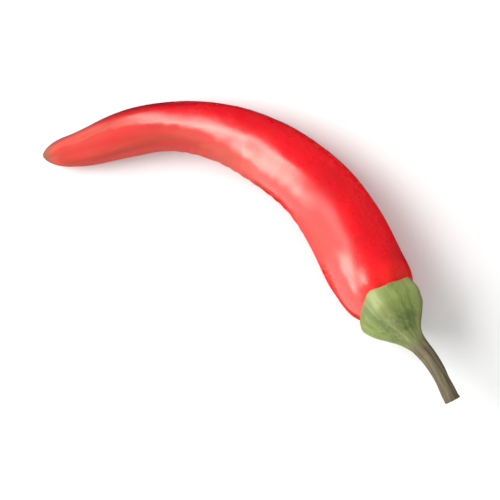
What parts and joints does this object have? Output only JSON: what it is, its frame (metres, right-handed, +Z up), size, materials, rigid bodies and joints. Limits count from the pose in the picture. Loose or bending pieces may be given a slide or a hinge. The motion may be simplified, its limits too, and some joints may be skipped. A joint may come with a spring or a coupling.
{
  "type": "red chili pepper",
  "caption": "Ripe red chili pepper as picked, with a glossy hooked pod that tapers to a blunt tip and its green calyx and stalk.",
  "frame": {"origin": "under the middle of the pepper's bounding box, on the surface that it lies on", "axes": "+X runs from the pod's tip towards the stem, along the longest extent; +Y points to the outer side of the bend; +Z is up, away from the surface, and is the shortest extent"},
  "size_m": [0.0784, 0.057, 0.0161],
  "materials": {
    "pod_skin": "waxy, glossy red skin, more orange towards the tip",
    "stem_green": "matte green calyx, brownish olive stalk with a dry cut end"
  },
  "bodies": {
    "root": {"pod": "pod_skin", "stem": "stem_green"}
  },
  "joints": []
}
